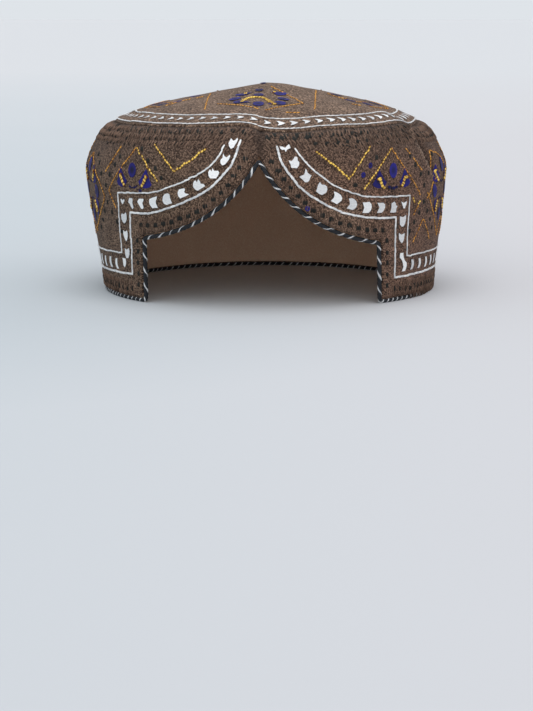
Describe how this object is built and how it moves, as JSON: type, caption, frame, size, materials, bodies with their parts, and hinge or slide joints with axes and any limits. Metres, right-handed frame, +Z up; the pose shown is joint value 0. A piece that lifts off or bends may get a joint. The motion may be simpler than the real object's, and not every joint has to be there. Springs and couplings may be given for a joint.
{
  "type": "sindhi cap",
  "caption": "Stiff embroidered cap with a domed oval crown, a rolled shoulder and an arched forehead opening bound with twisted cord.",
  "frame": {"origin": "middle of the cap's box, on the surface that its hem stands on", "axes": "+Z up from the hem to the crown, forehead opening towards -Y, +X to the left hand of the wearer"},
  "size_m": [0.1858, 0.2078, 0.1055],
  "materials": {
    "band_cloth": "densely stitched brown cotton with darker and lighter flecks",
    "crown_cloth": "densely stitched brown cotton",
    "edge_cord": "black twisted cord with a white strand",
    "white_thread": "white embroidery thread, slightly glossy",
    "gold_thread": "gold metallic thread",
    "navy_thread": "navy satin stitch",
    "dark_thread": "green-black knots"
  },
  "bodies": {
    "root": {"crown": "crown_cloth", "side_band": "band_cloth", "edge_binding": "edge_cord"}
  },
  "joints": []
}
